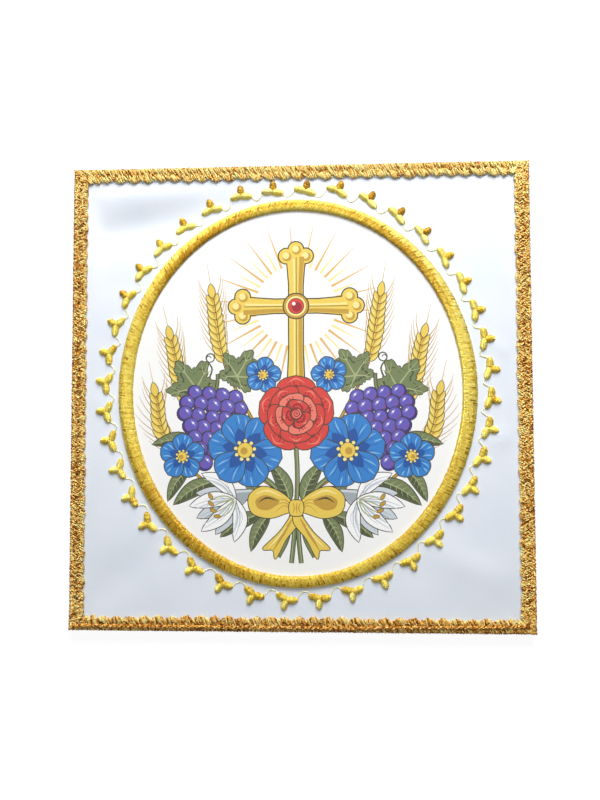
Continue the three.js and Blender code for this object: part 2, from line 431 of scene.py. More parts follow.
def grapes(rows=(4, 5, 5, 4, 3, 2, 1), radius=2.55):
    """A bunch that hangs down from the origin."""
    shapes = [(stroke(curve([(0, 5.5), (-0.4, 2), (0, -2)]), 1.3), "line")]
    brush(shapes, "leaf", curve([(0, 5.3), (-0.4, 2), (0, -2)]), 0.7)
    for row, count in enumerate(rows):
        for k in range(count):
            x = (k - (count - 1) / 2) * radius * 1.78 + draw.uniform(-0.25, 0.25)
            y = -1.5 - row * radius * 1.48 + draw.uniform(-0.25, 0.25)
            shapes += placed(grape(radius * draw.uniform(0.94, 1.06)), x, y)
    return shapes


VINE_LOBES = [
    dict(turn=0, high=0.5, spread=20, vein=1.1),
    dict(turn=64, high=0.42, spread=18, vein=0.9),
    dict(turn=-64, high=0.42, spread=18, vein=0.9),
    dict(turn=124, high=0.3, spread=17, vein=0.62),
    dict(turn=-124, high=0.3, spread=17, vein=0.62),
]


def vine_leaf(radius=11.0):
    angle = np.radians(np.arange(-176, 177, 4))
    reach = np.full(len(angle), 0.5)
    for lobe in VINE_LOBES:
        reach += lobe["high"] * np.exp(-((np.degrees(angle) - lobe["turn"]) / lobe["spread"]) ** 2)
    reach += 0.035 * np.sign(np.sin(angle * 22))
    loop = radius * np.column_stack([reach * np.cos(angle), reach * np.sin(angle)])
    loop[:, 0] += radius * 0.2
    shapes = outlined(loop, "leaf")
    shapes.append((loop * 0.72 + (radius * 0.05, 0), "leaf_deep"))
    shapes.append((loop * 0.62 + (radius * 0.1, radius * 0.03), "leaf"))
    for lobe in VINE_LOBES:
        long = radius * lobe["vein"]
        vein = ray(long, lobe["turn"], 0, 0.3) + (radius * 0.08, 0)
        brush(shapes, "leaf_pale", vein, 0.7, 0.15)
        for side in (38, -38):
            twig = turned(ray(long * 0.42, side), lobe["turn"]) + vein[3]
            brush(shapes, "leaf_pale", twig, 0.34, 0.1)
    return shapes


def long_leaf(length=16.0, width=5.0, bow=1.2, fullest=0.42, blunt=0.85):
    shapes = outlined(blade(length, width, fullest, blunt, 11, bow), "leaf")
    share = np.linspace(0, 1, 9)
    half = blade_half(share, width, fullest, blunt)
    middle = np.column_stack([length * share, bow * np.sin(np.pi * share)])
    lower = middle - np.column_stack([np.zeros(9), half * 0.92])
    shapes.append((np.vstack([lower, middle[::-1]]), "leaf_deep"))
    brush(shapes, "leaf_pale", middle, 0.5, 0.12)
    for k in range(2, 7):
        for side in (1, -1):
            tip = middle[k] + (length * 0.09, side * half[k + 1] * 0.8)
            vein = np.array([middle[k], (middle[k] + tip) / 2 + (0, side * 0.1), tip])
            brush(shapes, "leaf_pale", vein, 0.26, 0.08)
    return shapes


def point_on(line, run, distance):
    """The point of a line at a distance along it, and the way it runs there in degrees."""
    near = [[np.interp(distance + step, run, axis) for axis in line.T] for step in (-0.5, 0, 0.5)]
    behind, place, ahead = np.array(near)
    way = ahead - behind
    return place, math.degrees(math.atan2(way[1], way[0]))


def wheat(stem, ear=22.0, pairs=9):
    """An ear at the end of a stem line."""
    line = curve(stem, False, 8)
    run = run_along(line)
    shapes = [(stroke(line, 1.25, 0.9), "line"), (stroke(line, 0.75, 0.45), "ochre")]
    awns, grains = [], []
    for k in range(pairs):
        place, way = point_on(line, run, run[-1] - ear + ear * k / pairs)
        size = 1.0 - 0.35 * abs(k / (pairs - 1) - 0.4)
        for side in (1, -1):
            angle = way + side * 27
            grain = outlined(blade(5.4 * size, 2.5 * size, 0.45, 0.8), "yellow", 0.24)
            crease = ray(4.8 * size, -5 * side, 0.4, -0.42 * side)
            brush(grain, "ochre", crease, 0.2, 0.1, 0.85)
            gleam = ray(4.4 * size, 8 * side, 1.2, 0.3 * side)
            brush(grain, "straw", gleam, 0.1, 0.1, 0.45)
            grains += placed(grain, *place, angle)
            tip = turned([(5.0 * size, 0)], angle)[0] + place
            awn = ray(8.5 * size, angle - side * 9, 0, side * 0.4) + tip
            brush(awns, "ochre", awn, 0.34, 0.1)
    place, way = point_on(line, run, run[-1])
    grains += placed(outlined(blade(5.0, 2.3, 0.45, 0.8), "yellow", 0.24), *place, way)
    brush(awns, "ochre", ray(12, way) + place, 0.34, 0.1)
    return shapes + awns + grains


LILY_BACK = [
    dict(turn=34, long=0.86, wide=4.6, bend=0.9),
    dict(turn=-34, long=0.86, wide=4.6, bend=-0.9),
    dict(turn=0, long=0.92, wide=5.0, bend=0.0),
]
LILY_FRONT = [
    dict(turn=62, long=0.9, wide=5.0, bend=1.8),
    dict(turn=-62, long=0.9, wide=5.0, bend=-1.8),
    dict(turn=17, long=1.0, wide=5.2, bend=1.0),
    dict(turn=-17, long=1.0, wide=5.2, bend=-1.0),
]


def lily_petals(petals, length, ink, shade):
    shapes = []
    for petal in petals:
        long, bend = length * petal["long"], petal["bend"]
        side = math.copysign(1, petal["turn"] or 1)
        made = outlined(blade(long, petal["wide"], 0.48, 0.8, 13, bend), ink)
        fold = ray(long * 0.9, -side * 5, long * 0.1, bend - side * 0.4)
        brush(made, shade, fold, 0.3, 0.1, 1.1)
        brush(made, "grey", ray(long * 0.9, 0, long * 0.05, bend), 0.42, 0.12)
        for angle in (-7, 7):
            brush(made, "grey", ray(long * 0.68, angle, long * 0.2, bend), 0.22, 0.08)
        shapes += placed(made, turn=petal["turn"])
    return shapes


def lily(length=17.0):
    """A white lily that opens along +X."""
    throat = curve([(-7, 0), (-4, 1.6), (1, 3.4), (4, 2.6), (4, -2.6), (1, -3.4), (-4, -1.6)], True, 4)
    shapes = lily_petals(LILY_BACK, length, "pale_grey", "grey")
    shapes += outlined(throat, "pale_grey")
    shapes.append((throat * 0.62 + (-1.6, -0.4), "grey"))
    shapes += lily_petals(LILY_FRONT, length, "white", "pale_grey")
    for angle in (-24, -8, 8, 24):
        line = ray(8.5, angle, 1, angle / 20)
        brush(shapes, "leaf_pale", line, 0.5, 0.4)
        shapes += placed(outlined(blade(2.6, 1.1, 0.5, 0.6), "ochre", 0.2), *line[-1], angle + 60)
    return shapes


def cross(height=52.0, span=36.0, bar=6.2, arm_up=17.0):
    """A cross with budded ends; the arms cross at the origin."""
    arms = [(arm_up, 90), (span / 2, 0), (span / 2, 180), (height - arm_up, 270)]
    bars, buds = [], []
    for long, way in arms:
        flare = np.array([(-bar * 0.3, -bar * 0.38), (long * 0.4, -bar * 0.36), (long, -bar * 0.5),
                          (long, bar * 0.5), (long * 0.4, bar * 0.36), (-bar * 0.3, bar * 0.38)])
        bars.append(turned(flare, way))
        for shift, side in ((0.34, 0), (-0.02, 0.52), (-0.02, -0.52)):
            spot = turned([(long + bar * shift, bar * side)], way)[0]
            buds.append(circle(bar * 0.4, *spot, 18))
    shapes = [(grown(loop, 0.42), "line") for loop in bars + buds]
    shapes += [(loop, "yellow") for loop in buds + bars]
    for bud in buds:
        middle = bud.mean(0)
        shapes.append(((bud - middle) * 0.62 + middle + (0.25, -0.25), "ochre"))
        shapes.append(((bud - middle) * 0.46 + middle + (-0.1, 0.15), "straw"))
    for long, way in arms:
        flip = (1, 1 if way in (90, 0) else -1)
        shade = np.array([(1.5, -bar * 0.34), (long * 0.4, -bar * 0.33), (long - 0.4, -bar * 0.46),
                          (long - 0.4, -bar * 0.2), (long * 0.4, -bar * 0.14), (1.5, -bar * 0.14)])
        shapes.append((turned(shade * flip, way), "ochre"))
        gleam = np.array([(2.5, 0.5), (long * 0.5, 0.45), (long - 1, 0.7)])
        brush(shapes, "straw", turned(gleam * flip, way), 0.5, 0.7)
        crease = np.array([(2.5, -0.1), (long * 0.5, -0.1), (long - 0.6, -0.1)])
        brush(shapes, "line", turned(crease * flip, way), 0.22)
    shapes += outlined(circle(bar * 0.66, points=22), "ochre", 0.4)
    shapes.append((circle(bar * 0.54, points=22), "straw"))
    shapes += outlined(circle(bar * 0.4, points=20), "red", 0.25)
    shapes.append((circle(bar * 0.27, 0.25, -0.25, 14), "red_deep"))
    shapes.append((circle(bar * 0.1, -0.7, 0.8, 8), "white"))
    return shapes


def rays(inner=13.5, outer=24.0, count=44):
    shapes = []
    for k in range(count):
        angle = 360 * (k + 0.5) / count
        long = outer * (1.16 if k % 2 else 0.94)
        brush(shapes, "tan" if k % 2 else "straw", ray(long, angle, inner), 0.85, 0.12)
    return shapes


def bow():
    """A ribbon bow with two tails, knotted at the origin."""
    tail = [(0, 0), (3.4, -5), (6.5, -9), (12, -14.5), (8.4, -15), (7.4, -18), (3.6, -11), (-1, -5)]
    loop = [(0, 0), (5, 5.2), (12, 7.6), (17, 4.2), (16, -1.6), (10, -3.6), (4, -2)]
    hole = [(6, 2.6), (11, 4.6), (14.6, 2.8), (13.6, -0.2), (9.6, -0.6)]
    knot = [(-2.6, 0), (-2, 2.4), (0, 2.8), (2, 2.4), (2.6, 0), (2, -2.4), (0, -2.8), (-2, -2.4)]
    half = outlined(curve(tail, True, 5), "yellow")
    brush(half, "ochre", curve([(1.5, -4), (4.6, -9), (8.2, -15)]), 0.4, 0.3, 1.3)
    brush(half, "straw", curve([(3.4, -6.4), (6.6, -10.6), (10, -14)]), 0.2, 0.2, 0.8)
    half += outlined(curve(loop, True), "yellow")
    half.append((curve(hole, True), "ochre"))
    brush(half, "line", curve([(6.8, 2.6), (10.6, 3.6), (13.6, 2)]), 0.2, 0.2, 0.7)
    for k, bend in enumerate((0.8, 1.9, 3.0)):
        fold = curve([(1.4, 0.6 * k - 0.7), (4.4, bend), (7.6 + k, 2.0 * k - 1.6)])
        brush(half, "ochre", fold, 0.5, 0.1)
    brush(half, "straw", curve([(5.4, 4.2), (10.4, 6.2), (14.6, 5)]), 0.2, 0.2, 0.8)
    shapes = both_sides(half)
    shapes += outlined(curve(knot, True, 4), "yellow")
    for x in (-1.2, 0.2, 1.5):
        brush(shapes, "ochre", curve([(x, 1.9), (x * 0.6, 0), (x, -1.9)]), 0.2, 0.2, 0.5)
    return shapes


def tendril():
    """A thin curl that grows from the origin along +X."""
    turns = np.linspace(0, 1.5 * 2 * np.pi, 20)
    coil = np.column_stack([np.sin(turns), 1 - np.cos(turns)]) * 1.7
    coil *= (1 - 0.5 * turns / turns[-1])[:, None]
    root = curve([(-6, -1.6), (-3.4, 0.5), (0, 0)], False, 5)[:-1]
    line = np.vstack([root, coil]) + (6, 1.6)
    return [(stroke(line, 0.6, 0.3), "leaf_deep")]


def stalk(points, width=1.1):
    line = curve(points)
    return [(stroke(line, width + 0.5), "line"), (stroke(line, width), "leaf"),
            (stroke(line + (0.2, 0), 0.25), "leaf_pale")]


EARS = [
    [(3, -34), (20, -22), (36, -4), (42, 18)],
    [(3, -34), (14, -10), (24, 10), (28, 32)],
    [(3, -36), (26, -32), (43, -16), (47, -1)],
]
STALKS = [
    [(1.5, -40), (3, -48), (6, -54)],
    [(0.5, -40), (0.8, -48), (1.6, -56)],
    [(1, -38), (7, -31), (12, -27)],
    [(2, -38), (12, -35), (19, -35)],
]
LEAF_PLACES = [
    (2, -36, 62, 0.95), (4, -38, 28, 0.9), (12, -40, -30, 0.95), (9, -40, -64, 0.85),
    (27, -29, -30, 1.0), (33, -16, -4, 0.95), (10, 3, 50, 0.8), (36, -25, -58, 0.8),
]


def emblem():
    """The whole design. A place gives x and y, the turn in degrees and the size."""
    shapes = placed(rays(), 0, 29)
    for stem in EARS:
        shapes += both_sides(wheat(stem))
    shapes += placed(cross(), 0, 29)
    for points in STALKS:
        shapes += both_sides(stalk(points))
    shapes += stalk([(0, -38), (0.4, -28), (0, -18)])
    for place in LEAF_PLACES:
        shapes += both_sides(placed(long_leaf(), *place))
    motifs = [
        (tendril(), 29, 5, 66), (vine_leaf(), 33, 1, 52, 0.9), (vine_leaf(), 20, 5, 118, 0.8),
        (grapes(), 27, 1, 8), (lily(), 20, -35, -26, 0.92), (flower(5, 7.6), 38, -21, 20),
        (flower(6, 12.5), 17, -19, 12), (flower(5, 6.0), 11, 6, 30),
    ]
    for motif, *place in motifs:
        shapes += both_sides(placed(motif, *place))
    shapes += placed(rose(), 0, -7, 0, 1.05)
    shapes += placed(bow(), 0, -38, 0, 0.92)
    return placed(shapes, 0, -0.5, 0, 1.03)


# Materials

def linear(colour):
    """A screen colour of 0 to 255 as light."""
    share = np.array(colour) / 255
    return tuple(np.where(share < 0.04045, share / 12.92, ((share + 0.055) / 1.055) ** 2.4))


class Nodes:
    """A node tree, to which nodes are added by name."""

    def __init__(self, tree):
        self.tree = tree

    def node(self, kind, settings=None, **inputs):
        """A node with settings, whose inputs are values or other sockets."""
        node = self.tree.nodes.new("ShaderNode" + kind)
        for name, value in (settings or {}).items():
            setattr(node, name, value)
        for name, value in inputs.items():
            self.put(node.inputs[int(name[1:]) if name[0] == "_" else name.replace("_", " ")], value)
        return node

    def put(self, socket, value):
        if isinstance(value, bpy.types.NodeSocket):
            self.tree.links.new(value, socket)
        else:
            socket.default_value = value

    def math(self, operation, first, second=0.0):
        return self.node("Math", dict(operation=operation), _0=first, _1=second).outputs[0]

    def vector(self, operation, first, second):
        return self.node("VectorMath", dict(operation=operation), _0=first, _1=second)


class Surface(Nodes):
    """A material with its shader."""

    def __init__(self, name):
        self.material = bpy.data.materials.new(name)
        self.material.use_nodes = True
        self.shader = self.material.node_tree.nodes["Principled BSDF"]
        super().__init__(self.material.node_tree)

    def ramp(self, share, stops):
        """Colours between stops of (place, linear colour)."""
        node = self.node("ValToRGB", Fac=share)
        elements = node.color_ramp.elements
        while len(elements) < len(stops):
            elements.new(0.5)
        for element, (place, colour) in zip(elements, stops):
            element.position = place
            element.color = (*colour, 1)
        return node.outputs["Color"]

    def mixed(self, share, first, second, way="MIX"):
        node = self.node("Mix", dict(data_type="RGBA", blend_type=way), _0=share, _6=first, _7=second)
        return node.outputs[2]

    def noise(self, size, stretch=(1, 1, 1), detail=2.0):
        """Noise in the object's own space; size is in millimetres."""
        place = self.node("TexCoord").outputs["Object"]
        scale = tuple(1 / (size * MM * s) for s in stretch)
        place = self.node("Mapping", Vector=place, Scale=scale).outputs[0]
        return self.node("TexNoise", Vector=place, Scale=1.0, Detail=detail).outputs["Fac"]

    def flecks(self, size):
        """A number from 0 to 1 that changes from each fleck of the given size to the next."""
        place = self.node("TexCoord").outputs["Object"]
        cells = self.node("TexVoronoi", Vector=place, Scale=1 / (size * MM)).outputs["Color"]
        return self.node("SeparateColor", Color=cells).outputs["Red"]

    def bump(self, height, depth):
        """Relief of the given depth in millimetres."""
        return self.node("Bump", Height=height, Strength=1.0, Distance=depth * MM).outputs["Normal"]

    def finish(self, **inputs):
        for name, value in inputs.items():
            self.put(self.shader.inputs[name.replace("_", " ")], value)
        return self.material


def satin_material():
    """White satin with long shiny floats, and the emblem's ink in them."""
    satin = Surface("white_satin")
    ink = satin.node("Attribute", dict(attribute_name="ink"))
    floats = satin.noise(0.22, stretch=(1, 5, 5))
    crossing = satin.noise(0.5, stretch=(2, 0.6, 1), detail=1.0)
    clouds = satin.noise(16, detail=1.0)
    white = satin.ramp(clouds, [(0.3, linear((230, 237, 247))), (0.7, linear((236, 242, 251)))])
    worn = satin.ramp(floats, [(0.25, (0.80, 0.80, 0.80)), (0.75, (1.0, 1.0, 1.0))])
    wear = satin.math("SUBTRACT", 0.9, satin.math("MULTIPLY", ink.outputs["Fac"], 0.85))
    printed = satin.mixed(wear, ink.outputs["Color"], worn, "MULTIPLY")
    colour = satin.mixed(ink.outputs["Alpha"], white, printed)
    relief = satin.bump(satin.math("ADD", floats, crossing), depth=0.02)
    gloss = satin.math("MULTIPLY", satin.math("SUBTRACT", 1.0, ink.outputs["Alpha"]), 0.1)
    return satin.finish(Base_Color=colour, Metallic=gloss, Roughness=0.45, Normal=relief,
                        Sheen_Weight=0.15, Sheen_Roughness=0.4)


def thread_tone(surface, fleck, spread, shade):
    """Each thread's tone, changed by spread from fleck to fleck as random tone and painted glints, and
    lowered by shade down its sides as painted shade where the threads meet.
    """
    tone = surface.node("Attribute", dict(attribute_name="tone")).outputs["Fac"]
    # Random tone from fleck to fleck, which also stands for painted glints of the metal yarn
    tone_and_painted_glints = surface.math("MULTIPLY", surface.math("SUBTRACT", surface.flecks(fleck), 0.5), spread)
    # Painted shade: the tone drops down each thread's sides, where threads meet
    around = surface.node("UVMap", dict(uv_map="thread")).outputs["UV"]
    around = surface.node("SeparateXYZ", Vector=around).outputs["Y"]
    facing = surface.math("ABSOLUTE", surface.math("SINE", surface.math("MULTIPLY", around, 2 * math.pi)))
    darker = surface.math("MULTIPLY", surface.math("SUBTRACT", 1.0, facing), shade)
    return surface.math("SUBTRACT", surface.math("ADD", tone, tone_and_painted_glints), darker)


def twist_height(surface, pitch, plies):
    """Relief of the plies that wind round a thread."""
    run = surface.node("UVMap", dict(uv_map="thread"))
    parts = surface.node("SeparateXYZ", Vector=run.outputs["UV"]).outputs
    along = surface.math("DIVIDE", parts["X"], pitch)
    around = surface.math("MULTIPLY", parts["Y"], plies)
    turn = surface.math("MULTIPLY", surface.math("ADD", along, around), 2 * math.pi)
    return surface.math("SINE", turn)


def gold_thread_material():
    """Bright lemon-gold embroidery thread."""
    gold = Surface("gold_thread")
    tone = gold.math("DIVIDE", thread_tone(gold, fleck=0.5, spread=0.3, shade=0.15), 1.5)
    colour = gold.ramp(tone, [(0.0, linear((136, 84, 4))), (0.23, linear((214, 162, 28))),
                              (0.45, linear((255, 233, 98))), (0.66, linear((255, 245, 158))),
                              (1.0, linear((255, 251, 226)))])
    relief = gold.bump(twist_height(gold, pitch=0.5, plies=2), depth=0.03)
    return gold.finish(Base_Color=colour, Metallic=0.5, Roughness=0.33, Normal=relief)


def gold_braid_material():
    """Deep gold metal yarn."""
    gold = Surface("gold_braid")
    tone = thread_tone(gold, fleck=0.55, spread=0.95, shade=0.2)
    colour = gold.ramp(tone, [(0.0, linear((130, 68, 2))), (0.2, linear((208, 132, 28))),
                              (0.5, linear((254, 190, 80))), (1.0, linear((255, 240, 154)))])
    relief = gold.bump(twist_height(gold, pitch=0.7, plies=2), depth=0.06)
    return gold.finish(Base_Color=colour, Metallic=0.1, Roughness=0.28, Normal=relief)


# The panel and its print

def inside(points, loop):
    """Which points a loop winds round."""
    x, y = points[:, 0, None], points[:, 1, None]
    x0, y0 = loop.T
    x1, y1 = np.roll(x0, -1), np.roll(y0, -1)
    left = (x1 - x0) * (y - y0) - (x - x0) * (y1 - y0)
    rising = (y0 <= y) & (y1 > y) & (left > 0)
    falling = (y0 > y) & (y1 <= y) & (left < 0)
    return rising.sum(1) != falling.sum(1)


def top_inks(points, loops):
    """The ink that lies uppermost at each point, or none on bare satin."""
    order = np.argsort(points[:, 0])
    places = points[order]
    found = np.full(len(points), "", dtype="U16")
    for loop, ink in reversed(loops):
        low, high = loop.min(0), loop.max(0)
        first, last = np.searchsorted(places[:, 0], (low[0], high[0]))
        part = slice(first, last)
        level = places[part, 1]
        near = first + np.flatnonzero((found[part] == "") & (level >= low[1]) & (level <= high[1]))
        found[near[inside(places[near], loop)]] = ink
    inks = np.empty_like(found)
    inks[order] = found
    return inks


def triangles(points, edges):
    """The plane in triangles that keep the given edges."""
    made = delaunay_2d_cdt([Vector(p) for p in points], edges, [], 0, 0.001)
    return np.array([tuple(p) for p in made[0]]), np.array(made[2])


def ink_edges(corners, inks):
    """Edges of triangles where one ink meets another."""
    pairs = np.sort(corners[:, [0, 1, 1, 2, 2, 0]].reshape(-1, 2), axis=1)
    owner = np.repeat(inks, 3)
    order = np.lexsort(pairs.T)
    pairs, owner = pairs[order], owner[order]
    same = (pairs[1:] == pairs[:-1]).all(1) & (owner[1:] != owner[:-1])
    return pairs[:-1][same]


def face_grid(half):
    """Points of the rim and of the satin's face, coarser where the print's own lines are."""
    counts = np.ceil(2 * half / SATIN_STEP).astype(int)
    grid = np.meshgrid(*(np.linspace(-h, h, n + 1) for h, n in zip(half, counts)))
    points = np.column_stack([line.ravel() for line in grid])
    from_ring = np.hypot(*((points - RING_CENTRE) / (RING_RADII - RING_WIDTHS / 2)).T)
    coarse = np.round(points / SATIN_STEP).astype(int) % round(PRINT_STEP / SATIN_STEP) == 0
    return points[(from_ring > 1) | coarse.all(1)]


def make_panel(material):
    half = PANEL_HALF - EDGE_ROLL
    ground = circle(1.0, points=96) * RING_RADII
    loops = [(loop + RING_CENTRE, ink) for loop, ink in [(ground, "ground"), *emblem()]]
    points = np.concatenate([loop for loop, ink in loops])
    edges, first = [], 0
    for loop, ink in loops:
        edges += [(first + i, first + (i + 1) % len(loop)) for i in range(len(loop))]
        first += len(loop)
    points, corners = triangles(points, edges)
    inks = top_inks(points[corners].mean(1), loops)
    seen = ink_edges(corners, inks)
    used, seen = np.unique(seen, return_inverse=True)
    points = np.concatenate([points[used], face_grid(half)])
    points, corners = triangles(points, [tuple(pair) for pair in seen.reshape(-1, 2).tolist()])
    inks = top_inks(points[corners].mean(1), loops)
    panel = add_piece("satin_panel", on_satin(points, 0), corners.tolist(), material,
                      ["panel"])
    shades = {ink: (*linear(colour), 1) for ink, colour in INKS.items()}
    shades[""] = (1, 1, 1, 0)
    layer = panel.data.color_attributes.new("ink", "FLOAT_COLOR", "CORNER")
    layer.data.foreach_set("color", np.repeat([shades[ink] for ink in inks], 3, axis=0).ravel())
    roll_edge(panel, half)
    return panel


def roll_edge(panel, half):
    """Turns the satin's rim round the edge and closes the underside."""
    bpy.ops.object.select_all(action="DESELECT")
    bpy.context.view_layer.objects.active = panel
    panel.select_set(True)
    bpy.ops.object.mode_set(mode="EDIT")
    bpy.ops.mesh.select_mode(type="EDGE")
    bpy.ops.mesh.select_all(action="SELECT")
    bpy.ops.mesh.region_to_loop()
    reach, level = 0.0, PANEL_THICKNESS
    for step in range(1, EDGE_STEPS + 1):
        angle = math.pi * step / EDGE_STEPS
        next_reach = EDGE_ROLL * math.sin(angle)
        next_level = PANEL_THICKNESS * (1 + math.cos(angle)) / 2
        scale = (half + next_reach) / (half + reach)
        bpy.ops.mesh.extrude_region_move(
            TRANSFORM_OT_translate={"value": (0, 0, (next_level - level) * MM)})
        bpy.ops.transform.resize(value=(scale[0], scale[1], 1), center_override=(0, 0, 0))
        reach, level = next_reach, next_level
    hem = (half - HEM_WIDTH) / half
    bpy.ops.mesh.extrude_region_move()
    bpy.ops.transform.resize(value=(hem[0], hem[1], 1), center_override=(0, 0, 0))
    bpy.ops.mesh.edge_face_add()
    bpy.ops.mesh.select_all(action="SELECT")
    bpy.ops.mesh.normals_make_consistent(inside=False)
    bpy.ops.object.mode_set(mode="OBJECT")
    panel.data.shade_smooth()


# The ring

def heading(angle):
    return np.array([math.cos(angle), math.sin(angle)])


def ring_point(angle):
    """The middle of the ring's band, the way outwards and the band's width there."""
    middle = RING_CENTRE + RING_RADII * heading(angle)
    outwards = heading(angle) / RING_RADII
    width = RING_WIDTHS @ heading(angle) ** 2
    return middle, outwards / np.linalg.norm(outwards), width


def even_angles(radii, count):
    """Angles that part an oval into even lengths."""
    fine = np.linspace(0, 2 * np.pi, 4001)
    speed = np.hypot(radii[0] * np.sin(fine), radii[1] * np.cos(fine))
    length = np.concatenate([[0], np.cumsum((speed[1:] + speed[:-1]) / 2)])
    return np.interp(np.arange(count) / count * length[-1], length, fine)


def painted_ring_sheen(angle):
    """How much paler the ring is painted at an angle: painted sheen, lighter where its sides and its upper
    right shine and darker at its lower left.
    """
    sides = 0.16 * math.cos(angle) ** 4
    upper_right = 0.17 * math.cos(angle - math.pi / 4) ** 5
    return sides + upper_right - 0.05 * math.sin(angle)


def painted_ring_light_and_shade(angle, across, border):
    """How much paler a stitch of the ring is painted, from its inner end, across -1, to its outer one, 1.
    It is painted light and shade: the inner side is painted in shade where the ring slants, most at the
    upper right, and the outer end has a painted highlight, most at the lower left."""
    upper = max(math.sin(angle), 0)
    top = upper ** 8
    low_left = max(-math.cos(angle - math.pi / 4), 0)
    # Painted shade on the inner side, painted highlights on the outer side and end, painted shade in an
    # outer band at the sides
    inner_side = ((border + 0.08 + 0.4 * top - across) / 0.35).clip(0, 1)
    outer_end = (across - 0.4).clip(0)
    outer_band = np.exp(-((across - 0.5) / 0.3) ** 2)
    painted_inner_shade = 0.37 * math.sin(2 * angle) ** 2 * max(0.4 + 0.6 * math.cos(angle - math.pi / 3), 0.12)
    inner = (-0.3 * top * across - 0.1 * top - painted_inner_shade) * inner_side
    outer = 0.25 * upper * (1 - inner_side) + (0.2 + 0.5 * low_left) * outer_end
    return inner + outer - 0.15 * math.cos(angle) ** 4 * outer_band


def make_ring(material):
    threads = Threads(6)
    bend = np.linspace(-np.pi / 2, np.pi / 2, RING_STEPS)
    across = np.sin(bend)
    for angle in even_angles(RING_RADII, RING_THREADS):
        arch = np.cos(bend).clip(0) ** (0.4 + 0.12 * math.sin(angle))
        middle, outwards, width = ring_point(angle)
        forward = np.array([-outwards[1], outwards[0]])
        half = width / 2 + rng.uniform(-0.1, 0.12)
        slant = -RING_SLANT * (0.4 + math.sin(angle)) + rng.uniform(-0.1, 0.1)
        plan = middle + np.outer(across * half, outwards) + np.outer(across * slant, forward)
        wander = rng.uniform(-1, 1)
        rise = RING_RISE * arch - RING_SINK + 0.05 * wander
        # Random tone, plus painted sheen by angle and painted light and shade across the band
        tones = painted_ring_sheen(angle) + rng.uniform(*RING_TONES)
        tones = tones + painted_ring_light_and_shade(angle, across, 0.2 * wander)
        if rng.random() < RING_FLECKS:
            fleck = rng.randrange(RING_STEPS // 2, RING_STEPS - 2)
            tones[fleck:fleck + 2] -= rng.uniform(0.15, 0.5)
        threads.add(on_satin(plan, rise), *RING_STITCH, tones)
    return threads.piece("stitched_ring", material, "gold_thread", ["ring"])


# The wreath

def trefoil_place(index):
    """Where the lobes of a trefoil meet, and the way it points."""
    even = math.radians(FIRST_TREFOIL + 360 * index / TREFOIL_COUNT)
    angle = even - math.radians(TREFOIL_CROWDING) * math.sin(2 * even)
    place = WREATH_CENTRE + WREATH_RADII * heading(angle)
    outwards = heading(angle) / WREATH_RADII
    turn = math.atan2(outwards[1], outwards[0]) + math.radians(TREFOIL_LEAN)
    tips = [reach_of(lobe) * math.sin(turn + math.radians(lobe["turn"])) for lobe in TREFOIL_LOBES]
    node_top = box_mm(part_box(f"trefoil_{index + 1:02d}"))[1][1]
    place[1] = min(place[1], node_top - max(tips) + TREFOIL_OVER)
    return place, turn


def reach_of(lobe):
    return lobe["length"] - lobe["width"] / 4


def lobe_half_width(share, width):
    return width / 2 * (1 - abs(2 * share - 1) ** 2.6) ** 0.5


def lobe_way(lobe, turn):
    """The way a lobe points. The side lobes lie straighter on the right of the wreath."""
    straighter = 5 + 8 * math.cos(turn - math.radians(20))
    return turn + math.radians(lobe["turn"] - np.sign(lobe["turn"]) * straighter)


def lobe_shade(lobe, turn):
    """How much paler a lobe is: its stitches shine by the way they lie to the light."""
    lit = math.cos(turn - math.radians(65))
    return 0.07 + 0.14 * lit if lobe["turn"] else -0.24 * (lit + 0.3)


def make_trefoil(index, material):
    centre, turn = trefoil_place(index)
    threads = Threads(5)
    bend = np.linspace(-np.pi / 2, np.pi / 2, LOBE_STEPS)
    across, arch = np.sin(bend), np.cos(bend)
    for lobe in TREFOIL_LOBES:
        ahead = heading(lobe_way(lobe, turn) + math.radians(rng.uniform(-6, 6)))
        beside = np.array([-ahead[1], ahead[0]])
        count = int(lobe["length"] / LOBE_PITCH)
        level = rng.uniform(*LOBE_TONES) + lobe_shade(lobe, turn)
        for i in range(count):
            share = (i + 0.5) / count
            half = lobe_half_width(share, lobe["width"]) - LOBE_INSET + rng.uniform(-0.05, 0.05)
            start = lobe["length"] * share - lobe["width"] / 4
            plan = centre + np.outer(start + 0.2 * across, ahead) + np.outer(across * half, beside)
            fullness = (half * 2 / lobe["width"]) ** 0.7
            rise = LOBE_RISE * fullness * arch - LOBE_SINK
            threads.add(on_satin(plan, rise), *LOBE_STITCH, level + rng.uniform(-0.12, 0.18))
    number = f"{index + 1:02d}"
    return threads.piece("stitched_trefoil_" + number, material, "gold_thread", ["trefoil_" + number])


def lobe_tip(index, turn):
    centre, way = trefoil_place(index % TREFOIL_COUNT)
    lobe = next(lobe for lobe in TREFOIL_LOBES if lobe["turn"] == turn)
    return centre + heading(lobe_way(lobe, way)) * (reach_of(lobe) - LINK_START)


def make_links(material):
    """The thread that runs from each trefoil by way of the ring's edge to the next."""
    threads = Threads(5)
    rise = LINK_RISE * np.sin(np.linspace(0, np.pi, LINK_STEPS)) - LINK_SINK
    for index in range(TREFOIL_COUNT):
        start, end = lobe_tip(index, SIDE_LOBE_TURN), lobe_tip(index + 1, -SIDE_LOBE_TURN)
        middle = (start + end) / 2 - RING_CENTRE
        angle = math.atan2(middle[1] / RING_RADII[1], middle[0] / RING_RADII[0])
        edge, outwards, width = ring_point(angle)
        pull = edge + outwards * (width / 2 + rng.uniform(-0.6, 0.4))
        stitches = round((np.linalg.norm(pull - start) + np.linalg.norm(end - pull)) / LINK_LENGTH)
        for k in range(stitches):
            share = np.linspace(max(k - 0.1, 0), min(k + 1.1, stitches), LINK_STEPS)[:, None] / stitches
            plan = start * (1 - share) ** 2 + pull * 2 * share * (1 - share) + end * share ** 2
            threads.add(on_satin(plan, rise), *LINK_STITCH, rng.uniform(*LINK_TONES))
    return threads.piece("link_threads", material, "gold_thread")
